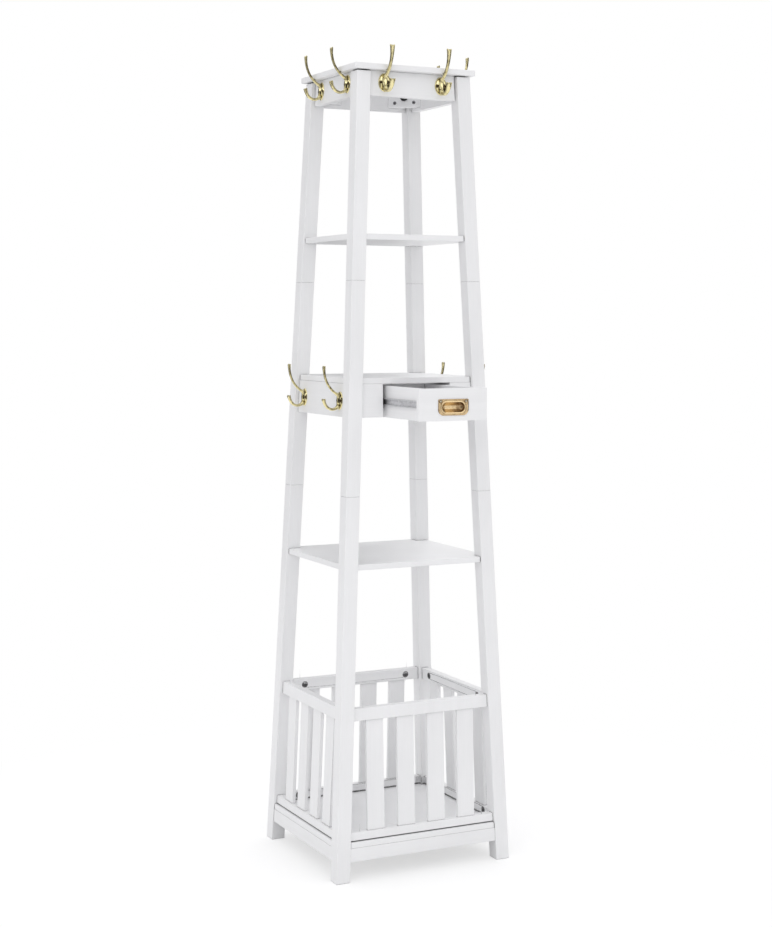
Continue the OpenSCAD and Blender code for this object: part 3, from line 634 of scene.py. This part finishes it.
def blackened(name, color, marked, dull):
    """A material of metal with an oxide skin, the colour of its marked places and its
    roughness."""
    material, tree = empty_material(name)
    skin = placed(tree, OXIDE, {
        "Place": object_place(tree), "Mark": mark_here(tree), "Color": (*color, 1),
        "Marked": (*marked, 1), "Dull": dull})
    end_in_surface(tree, {
        "Base Color": skin.outputs["Color"], "Roughness": skin.outputs["Roughness"],
        "Normal": relief(tree, skin.outputs["Height"], OXIDE_RELIEF, 0.4), "Metallic": 0.35})
    return material


CAM_RADIUS = 7.5
CAM_DEPTH = 12
CAM_BESIDE_LEG = 35
CAM_HEIGHTS = (99.2, 371.0)
RAIL_BACK = 25.5
disc, wear_and_highlight = cam_shell(CAM_RADIUS, CAM_DEPTH)
cams = []
for side in range(len(SIDES)):
    for end in (-1, 1):
        for height in CAM_HEIGHTS:
            across = end * (half_across(side, height) - (LEG_THICK + CAM_BESIDE_LEG))
            cams.append((on_side(disc, side, across, height, RAIL_BACK), wear_and_highlight))
make_piece("cam_locks_detailed", cams,
           blackened("cam_oxide", (0.009, 0.009, 0.01), marked=(0.50, 0.50, 0.51), dull=0.45),
           "stand", ["cam_locks"])

# Shelves. Two open shelves are half-inch boards, notched round the legs and held by a
# steel pin at each corner.
dress(["upper_shelf"], paint_board)
dress(["lower_shelf"], paint_shelf)
ease(["upper_shelf", "lower_shelf"], 0.0009)

# Box. Panels close its right, back and left, and a notched board closes its top. Two
# stiles stand beside the drawer opening, and partitions behind them carry the slides.
dress(["box_top"], paint_board)
dress(["box_panel_back", "box_stile_right", "box_stile_left"], paint_across)
dress(["box_panel_right", "box_panel_left", "box_partition_right", "box_partition_left"],
      paint_deep)
ease(["box_top", "box_panel_back", "box_stile_right", "box_stile_left"], 0.0008)


# Dowels. Plain beech pegs, glued into the legs and into the ends of the box's panels,
# its stiles and the base aprons.
def bare_wood(name, light, dark):
    """A material of bare beech: short dark flecks on a pale ground, drawn out along X."""
    material, tree = empty_material(name)
    fleck = noise(tree, times(tree, object_place(tree), (90, 900, 900)), 1.0, 3.0)
    color = add(tree, "ShaderNodeMix",
                {"Factor": ranged(tree, fleck, 0.0, 1.0, 0.4, 0.7), "A": (*light, 1),
                 "B": (*dark, 1)}, data_type="RGBA")
    end_in_surface(tree, {"Base Color": color.outputs["Result"],
                          "Roughness": ranged(tree, fleck, 0.5, 0.7)})
    return material


dress(["frame_dowels"], bare_wood("bare_beech", (0.66, 0.47, 0.29), (0.48, 0.30, 0.16)))

# Drawer. The front is a half-inch board, and the sides and the back are thinner and hold
# a thin white bottom in a groove.
dress(["drawer_front", "drawer_back"], paint_across)
dress(["drawer_side_right", "drawer_side_left"], paint_deep)
ease(["drawer_front", "drawer_side_right", "drawer_side_left", "drawer_back"], 0.0010)
dress(["drawer_bottom"], painted("drawer_bottom_film", (0.74, 0.74, 0.75), ALONG_Y, grain=0.2))

# Slides. A runner on each side of the drawer moves on two rows of balls in a channel that
# is screwed to the partition. Both are rolled from sheet with a coarse zinc skin.
dress(["slide_channels", "slide_runners"],
      plated("slide_zinc", (0.78, 0.78, 0.80), cell=420.0, shade_reach=0.012))


# Flush pull. One cast brass plate with a dished finger recess inside a raised ring, and a
# rolled outer edge. Two brass screws hold it at its square upper corners.
def build_brass():
    """Brass darkened by its mark, which is tarnish and in places painted shade: the mark and
    a little noise choose between bright and dark metal, and fine casting grain changes the gloss
    and the height."""
    group, start, end = effect(
        "brass_skin",
        [("Place", "NodeSocketVector", None), ("Mark", "NodeSocketFloat", 0.0),
         ("Bright", "NodeSocketColor", (0.8, 0.6, 0.3, 1)),
         ("Dark", "NodeSocketColor", (0.2, 0.12, 0.04, 1)),
         ("Polish", "NodeSocketFloat", 0.2)],
        [("Color", "NodeSocketColor"), ("Roughness", "NodeSocketFloat"),
         ("Height", "NodeSocketFloat")])
    place = start.outputs["Place"]
    cloud = noise(group, place, 140.0, 4.0, 0.6)
    grain = noise(group, place, 1500.0)
    patchy = math_node(group, "MULTIPLY", start.outputs["Mark"],
                       ranged(group, cloud, 0.55, 1.3, 0.36, 0.62))
    dark_share = math_node(group, "ADD", patchy, ranged(group, cloud, 0.0, 0.14, 0.45, 0.75))
    tint = add(group, "ShaderNodeMix",
               {"Factor": dark_share, "A": start.outputs["Bright"], "B": start.outputs["Dark"]},
               data_type="RGBA")
    group.links.new(tint.outputs["Result"], end.inputs["Color"])
    dull = math_node(group, "ADD", start.outputs["Polish"],
                     math_node(group, "MULTIPLY", dark_share, 0.22))
    group.links.new(math_node(group, "ADD", dull, ranged(group, grain, -0.03, 0.05)),
                    end.inputs["Roughness"])
    group.links.new(math_node(group, "ADD", cloud, math_node(group, "MULTIPLY", grain, 0.3)),
                    end.inputs["Height"])
    return group


BRASS = build_brass()
BRASS_RELIEF = 0.00004


def brassy(name, bright, dark, polish):
    """A material of cast brass with its bright colour and its dark one, for tarnish and painted
    shade.
    """
    material, tree = empty_material(name)
    skin = placed(tree, BRASS, {
        "Place": object_place(tree), "Mark": mark_here(tree), "Bright": (*bright, 1),
        "Dark": (*dark, 1), "Polish": polish})
    end_in_surface(tree, {
        "Base Color": skin.outputs["Color"], "Roughness": skin.outputs["Roughness"],
        "Normal": relief(tree, skin.outputs["Height"], BRASS_RELIEF, 0.5), "Metallic": 1.0})
    return material


def rounded_reach(x, angle, half_w, half_h, radius_low, radius_high):
    """Distance from (x, 0) along angle to a rectangle with round corners. The ray meets
    the straight sides, or in a corner the far side of that corner's circle."""
    tiny, far = 1e-9, 1e9
    c, s = np.cos(angle), np.sin(angle)
    radius = np.where(s < 0, radius_low, radius_high)
    leans = np.abs(c) > tiny
    to_side = np.where(leans, (half_w * np.sign(c) - x) / np.where(leans, c, 1), far)
    to_edge = np.where(np.abs(s) > tiny, half_h / np.maximum(np.abs(s), tiny), far)
    straight = np.minimum(to_side, to_edge)
    center_x, center_y = np.sign(c) * (half_w - radius) - x, np.sign(s) * (half_h - radius)
    in_corner = (np.abs(x + straight * c) > half_w - radius) \
        & (np.abs(straight * s) > half_h - radius)
    along = c * center_x + s * center_y
    off = c * center_y - s * center_x
    return np.where(in_corner, along + np.sqrt(np.maximum(radius ** 2 - off ** 2, 0)), straight)


RING_WIDTH = 4.0
PULL_SCREW = (31.08, 13.3)
LOWER_CORNER = 13.0
UPPER_CORNER = 1.6


def pull_shell(width, height, axis, dish_half, dish_depth, sheet):
    """The pull as rings round a straight axis: out from the dish's bottom over its lip,
    the ring, the field and the rolled edge, then back behind them. The rings turn from a
    stadium into the plate's outline."""
    per_end, per_run, per_dish = 40, 22, 22
    ends = np.linspace(-math.pi / 2, math.pi / 2, per_end)
    run = np.linspace(axis, -axis, per_run + 2)[1:-1]
    angle = np.concatenate([ends, np.full(per_run, math.pi / 2),
                            ends + math.pi, np.full(per_run, 1.5 * math.pi)])[None, :]
    x0 = np.concatenate([np.full(per_end, axis), run, np.full(per_end, -axis), -run])[None, :]
    edge = rounded_reach(x0, angle, width / 2, height / 2, LOWER_CORNER, UPPER_CORNER)
    # Each stop: distance from the axis, share of the way out to the plate's edge, and
    # height above the back
    inside = np.linspace(0, 1, per_dish)
    ring = dish_half + 0.6
    field = ring + RING_WIDTH + 0.2
    stops = [(dish_half * s, 0, -dish_depth * (1 - s ** 2.0) - 0.1) for s in inside]
    stops += [(dish_half + 0.2, 0, 0.4)]
    stops += [(ring + RING_WIDTH * (1 - math.cos(a)) / 2, 0, 0.8 + 1.4 * math.sin(a))
              for a in np.linspace(0.1, 3.0, 14)]
    stops += [(field, share, 0.9 + 0.3 * share) for share in np.linspace(0, 0.7, 12)]
    stops += [(field, share, rise) for share, rise in
              ((0.76, 1.5), (0.84, 1.9), (0.92, 1.75), (0.98, 1.2), (1, 0.5), (1, 0.02))]
    stops += [(dish_half + 1.2, 0, 0.02)]
    stops += [((dish_half + 0.8) * s, 0, -dish_depth * (1 - s ** 2.0) - sheet)
              for s in inside[::-1]]
    near, share, rise = (np.array(column)[:, None] for column in zip(*stops))
    reach = near + share * (edge - near)
    x, z = x0 + reach * np.cos(angle), reach * np.sin(angle)
    rise = np.broadcast_to(rise, x.shape)
    # The dish darkens toward its right half and under its brim on the right and at the top:
    #     painted shade over a little tarnish. Tarnish lies round the ring's foot, on the field
    #     and round the screws, and the outer edge is darker.
    in_dish = (share == 0) & (near < dish_half + 0.3)
    # Painted shade: the dish and its brim grow darker toward the right.
    right = eased(x, -4, 20)
    bowl_patina_and_shade = (0.12 + 0.5 * right) * in_dish
    brim_patina_and_shade = np.exp(-((near - 0.95 * dish_half) / 1.1) ** 2) * in_dish \
        * (0.06 + right * (0.85 + 0.15 * np.sin(angle)))
    foot = np.exp(-((near - ring - RING_WIDTH) / 0.5) ** 2) * (share < 0.1)
    ground = 0.3 * (share > 0.05) * (share < 0.72)
    outer = 0.75 * eased(share, 0.93, 1)
    from_screw = np.hypot(np.abs(x) - PULL_SCREW[0], z - PULL_SCREW[1])
    seats = np.exp(-((from_screw - 2.8) / 0.9) ** 2)
    mark = np.clip(bowl_patina_and_shade + brim_patina_and_shade + 0.55 * foot + ground + outer + seats, 0, 1)
    return np.stack([x, z, rise], axis=-1), mark


def screw_shell(head, head_rise, shank, below, half_width, half_length, cross=True):
    """A screw as rings round its axis: over the domed head with its cut, down the rim, in
    to the shank and down to the point. The cut is a cross or one slot. The mark is the
    dark inside the cut."""
    on_head, per_turn = 18, 40
    around = np.linspace(0, 2 * math.pi, per_turn, endpoint=False)[None, :]
    top = np.linspace(0, 1, on_head)
    radii = np.concatenate([top * head / 2, [head / 2, shank / 2, shank / 2, 0]])[:, None]
    level = np.concatenate([head_rise * (1 - 0.45 * top ** 3),
                            [0, 0, -below, -below - shank / 2]])[:, None]
    on_top = np.concatenate([np.ones(on_head), np.zeros(4)])[:, None]
    x, z = radii * np.sin(around), radii * np.cos(around)
    softness, slant = 0.25, 0.4
    if cross:
        cut = cross_mark(x, z, half_width, half_length, softness)
    else:
        cut = 1 - eased(np.abs(x + slant * z), half_width, half_width + softness)
    rise = level - 0.75 * head_rise * cut * on_top
    places = np.stack([x, z, np.broadcast_to(rise, x.shape)], axis=-1)
    return places, np.clip(cut * on_top, 0, 1)


PULL_WIDTH = 74
PULL_HEIGHT = 35
PULL_AXIS = 16.8
DISH_HALF = 9.9
DISH_DEPTH = 7.8
PULL_SHEET = 1.0
PULL_SCREW_OUT = 1.4
# The height of the pull's middle, and the drawer's face, in millimetres
pull_low, pull_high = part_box("drawer_pull")
pull_middle = 500 * (pull_low[2] + pull_high[2])
drawer_face = 1000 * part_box("drawer_front")[0][1]


def on_pull(points, x=0.0, up=0.0, out=0.0):
    """Millimetres on the pull, with X across, Y up and Z outward, laid on the drawer's
    front in metres."""
    return MM * np.stack([points[..., 0] + x, drawer_face - points[..., 2] - out,
                          points[..., 1] + up + pull_middle], axis=-1)


plate, tarnish_and_shade = pull_shell(PULL_WIDTH, PULL_HEIGHT, PULL_AXIS, DISH_HALF, DISH_DEPTH, PULL_SHEET)
make_piece("drawer_pull_detailed", [(on_pull(plate), tarnish_and_shade)],
           brassy("pull_brass", bright=(0.86, 0.66, 0.39), dark=(0.17, 0.08, 0.025),
                  polish=0.22),
           "drawer", ["drawer_pull"])
screw, cut = screw_shell(head=5.0, head_rise=0.9, shank=2.4, below=8,
                         half_width=0.45, half_length=2.5, cross=False)
make_piece("pull_screws_detailed",
           [(on_pull(screw, x, PULL_SCREW[1], PULL_SCREW_OUT), cut)
            for x in (-PULL_SCREW[0], PULL_SCREW[0])],
           brassy("screw_brass", bright=(0.96, 0.88, 0.70), dark=(0.03, 0.015, 0.01),
                  polish=0.12),
           "drawer", ["pull_screws"])

# Top. A flat panel with a small overhang lies on four aprons, and wooden blocks tie the
# aprons to each other behind the legs.
dress(["top_panel"], paint_board)
ease(["top_panel"], 0.0016)
dress(["top_apron_front", "top_apron_back"], paint_across)
dress(["top_apron_right", "top_apron_left"], paint_deep)
dress(["corner_blocks"], paint_across)
ease(["corner_blocks"], 0.0008)

# Corner bolts and block screws. A black socket bolt goes through each block into its leg,
# and a dull steel screw on either side of it goes into each apron.
dress(["corner_bolts"],
      blackened("black_bolt", (0.012, 0.012, 0.013), marked=(0.3, 0.3, 0.3), dull=0.38))
ease(["corner_bolts"], 0.0004)

SCREW_HEIGHT = 1750.64
BLOCK_FACE = 27
BESIDE_BOLT = 23.5


def at_corner(points, side_x, side_y, beside):
    """Millimetres on a screw, with Z along it to its head, laid on the block behind a leg's
    inner edge in metres."""
    toward = np.array([-side_x, -side_y]) / math.sqrt(2)
    edge = np.array([side_x * (half_across(0, SCREW_HEIGHT) - LEG_THICK),
                     side_y * (half_across(1, SCREW_HEIGHT) - LEG_THICK)])
    along = BLOCK_FACE + points[..., 2]
    level = points[..., 0] + beside
    return MM * np.stack([edge[0] + along * toward[0] - level * toward[1],
                          edge[1] + along * toward[1] + level * toward[0],
                          SCREW_HEIGHT + points[..., 1]], axis=-1)


screw, cut = screw_shell(head=7.5, head_rise=1.9, shank=3.6, below=28,
                         half_width=0.45, half_length=2.1)
block_screws = [(at_corner(screw, side_x, side_y, beside), cut)
                for side_x in (-1, 1) for side_y in (-1, 1)
                for beside in (-BESIDE_BOLT, BESIDE_BOLT)]
make_piece("block_screws_detailed", block_screws,
           blackened("block_screw_steel", (0.22, 0.22, 0.23), marked=(0.03, 0.03, 0.03),
                     dull=0.40),
           "stand", ["block_screws"])


# Coat hooks. Each is one casting in pale brass: an oval plate with a beaded rim, a ridge up
# its middle, a long prong that sweeps up and a short one that curls under. Both end in a
# notched, flared tip, and two small screws hold the plate to the wood.
HOOK_SCREW = 10


def hook_plate(half_w, half_h):
    """Rings of an oval: height is a dome, a beaded rim and a long ridge, and sinks to a
    flat seat round each screw. The rings go down the edge and back to the middle of the
    flat back. The mark is tarnish in the hollows."""
    on_dome, on_bead, per_turn = 34, 14, 112
    rim_rise, dome_rise, bead_rise, ridge_rise, seat_rise = 1.4, 2.0, 0.75, 3.7, 2.1
    around = np.linspace(0, 2 * math.pi, per_turn, endpoint=False)[None, :]
    rows = np.concatenate([np.linspace(0, 0.84, on_dome), np.linspace(0.86, 1, on_bead),
                           [1, 0]])[:, None]
    front = np.concatenate([np.ones(on_dome + on_bead), [0, 0]])[:, None]
    x, z = rows * half_w * np.sin(around), rows * half_h * np.cos(around)
    dome = rim_rise + dome_rise * np.clip(1 - (rows / 0.86) ** 2, 0, 1)
    bead = bead_rise * np.exp(-((rows - 0.925) / 0.04) ** 2) - 0.7 * eased(rows, 0.96, 1.0)
    ridge_reach = np.sqrt((x / 6.0) ** 2 + (z / 16.5) ** 2)
    ridge = ridge_rise * (1 - eased(ridge_reach, 0.35, 1.0))
    from_screw = np.sqrt((np.abs(x) - HOOK_SCREW) ** 2 + z ** 2)
    seat = 1 - eased(from_screw, 3.2, 3.7)
    rise = (dome + bead + ridge) * (1 - seat) + seat_rise * seat
    tarnish_and_shade = 0.95 * np.exp(-((rows - 0.865) / 0.04) ** 2) \
        + 0.95 * np.exp(-((ridge_reach - 0.98) / 0.16) ** 2)
    tarnish_and_shade = tarnish_and_shade + np.exp(-((from_screw - 3.3) / 0.55) ** 2)
    return np.stack([x, -rise * front, z], axis=-1), np.clip(tarnish_and_shade * front, 0, 1)


def hook_prong(anchors, width, tip, thick, root, groove):
    """A flattened bar swept along a Bezier curve of four (outward, up) anchors. It is stout
    at its root and flared at its tip, which is drawn back in the middle to a notch and
    rounded at both lobes. The inner side may be grooved. The mark is tarnish in the groove,
    in the notch and at the root, painted shade on the edges, and a darker middle stretch on a
    prong without a groove."""
    on_bar, on_tip, per_turn = 36, 22, 32
    t = np.concatenate([[0, 0], np.linspace(0, 0.9, on_bar)[1:],
                        np.linspace(0.9, 1, on_tip)[1:]])[:, None]
    turn = np.linspace(0, 2 * math.pi, per_turn, endpoint=False)[None, :]
    across = np.sign(np.sin(turn)) * np.abs(np.sin(turn)) ** 0.9
    inner = np.sign(np.cos(turn)) * np.abs(np.cos(turn)) ** 0.9
    notch = 0.018 * (1 - np.abs(across) ** 1.7) * eased(t, 0.9, 1)
    lobes = 0.014 * np.abs(across) ** 8 * eased(t, 0.93, 1)
    a, b, c, d = (np.array(anchor, dtype=float) for anchor in anchors)
    s = (t - notch - lobes)[..., None]
    path = (1 - s) ** 3 * a + 3 * (1 - s) ** 2 * s * b + 3 * (1 - s) * s ** 2 * c + s ** 3 * d
    heading = (1 - s) ** 2 * (b - a) + 2 * (1 - s) * s * (c - b) + s ** 2 * (d - c)
    heading = heading / np.linalg.norm(heading, axis=-1, keepdims=True)
    flare = (tip - width) / 2 * np.maximum(0, (t - 0.55) / 0.45) ** 2
    half_w = width / 2 + 1.2 * (1 - t) ** 3 + flare
    half_t = thick / 2 + 0.4 * (1 - t) ** 2 + root * np.maximum(0, 1 - t / 0.2) ** 2
    half_t = half_t + 0.5 * eased(t, 0.86, 0.96)
    half_t = half_t * np.sqrt(1 - np.clip((t - 0.972) / 0.028, 0, 1) ** 2)
    hollow = np.exp(-(across / 0.42) ** 2) * (inner > 0) * eased(t, 0.08, 0.25)
    closed = np.concatenate([[0], np.ones(len(t) - 1)])[:, None]
    x = half_w * across * closed
    r = half_t * inner * (1 - groove * hollow) * closed
    tarnish_and_shade = 0.85 * hollow * (groove > 0) \
        + 0.6 * np.exp(-(across / 0.5) ** 2) * eased(t, 0.93, 0.99)
    # Tarnish at the root, and a painted shade on the prong's edges.
    tarnish_and_shade = tarnish_and_shade + 0.5 * np.exp(-((t - 0.03) / 0.05) ** 2) \
        + 0.55 * np.abs(across) ** 5 * eased(t, 0.05, 0.2)
    # A prong without a groove is darker along its middle stretch.
    tarnish_and_shade = tarnish_and_shade + 0.3 * eased(t, 0.2, 0.5) * (1 - eased(t, 0.8, 0.97)) * (groove == 0)
    places = np.stack([np.broadcast_to(x, r.shape), -path[..., 0] + heading[..., 1] * r,
                       path[..., 1] + heading[..., 0] * r], axis=-1)
    return places, np.clip(tarnish_and_shade, 0, 1)


# Height of the plates' middles and their distance from the side's middle, in millimetres
APRON_HOOKS = (1762.0, 70.0)
PANEL_HOOKS = (1063.67, 97.5)
HOOK_BEHIND = 9
HOOK_SCREW_OUT = 2.2
# Each pair's node, its side counted round from the front, and its place on that side
HOOKS = [("hooks_top_front", 0, APRON_HOOKS), ("hooks_top_right", 1, APRON_HOOKS),
         ("hooks_top_left", 3, APRON_HOOKS), ("hooks_middle_right", 1, PANEL_HOOKS),
         ("hooks_middle_left", 3, PANEL_HOOKS)]
hook_shells = [
    hook_plate(half_w=15, half_h=20),
    hook_prong([(3, 12.0), (20.2, 18.5), (42.5, 38.5), (42, 77)],
               width=7.2, tip=12.5, thick=4.7, root=3.8, groove=0.0),
    hook_prong([(3, -12.4), (14, -25), (36, -22.2), (40.5, 4)],
               width=9.6, tip=14.5, thick=6.2, root=2.4, groove=0.5),
]
screw, cut = screw_shell(head=5.8, head_rise=1.3, shank=3.4, below=13,
                         half_width=0.4, half_length=1.7)
seated = np.stack([screw[..., 0], -screw[..., 2] - HOOK_SCREW_OUT, screw[..., 1]], axis=-1)
hook_brass = brassy("hook_brass", bright=(0.92, 0.82, 0.46), dark=(0.06, 0.04, 0.008),
                    polish=0.10)
hook_screws = []
for node, side, (height, across) in HOOKS:
    shells = [(on_side(places, side, end * across, height, HOOK_BEHIND), mark)
              for end in (-1, 1) for places, mark in hook_shells]
    make_piece(f"{node}_detailed", shells, hook_brass, "stand", [node])
    hook_screws += [(on_side(seated, side, end * across + offset, height, HOOK_BEHIND), cut)
                    for end in (-1, 1) for offset in (-HOOK_SCREW, HOOK_SCREW)]
# The hook screws are coloured nearly black: a painted shade for their recessed seats in the
# plates.
make_piece("hook_screws_detailed", hook_screws,
           brassy("hook_screw_brass", bright=(0.12, 0.08, 0.04), dark=(0.02, 0.015, 0.01),
                  polish=0.30),
           "stand", ["hook_screws"])
